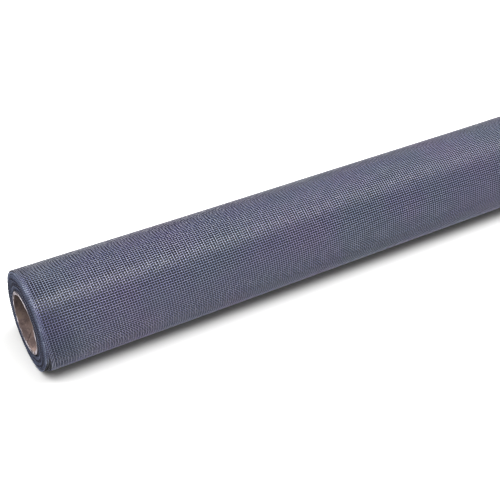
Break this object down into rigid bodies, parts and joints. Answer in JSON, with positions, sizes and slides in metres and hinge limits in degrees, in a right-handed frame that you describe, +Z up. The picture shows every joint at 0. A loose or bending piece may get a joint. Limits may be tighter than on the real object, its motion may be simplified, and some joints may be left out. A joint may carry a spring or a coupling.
{
  "type": "roll of insect screen mesh",
  "caption": "Roll of grey fibreglass insect screen wound on a cardboard core tube, lying on its side with its open bore and turned edges at each end.",
  "frame": {"origin": "on the floor below the middle of the roll", "axes": "+X along the roll's axis, towards the end that the picture cuts off; +Z up"},
  "size_m": [0.612, 0.06, 0.06],
  "materials": {
    "screen": "matte vinyl-coated fibreglass threads, blue grey",
    "cardboard": "raw spiral-wound board, matte"
  },
  "bodies": {
    "root": {"mesh_roll": "screen", "core_tube": "cardboard"}
  },
  "joints": []
}
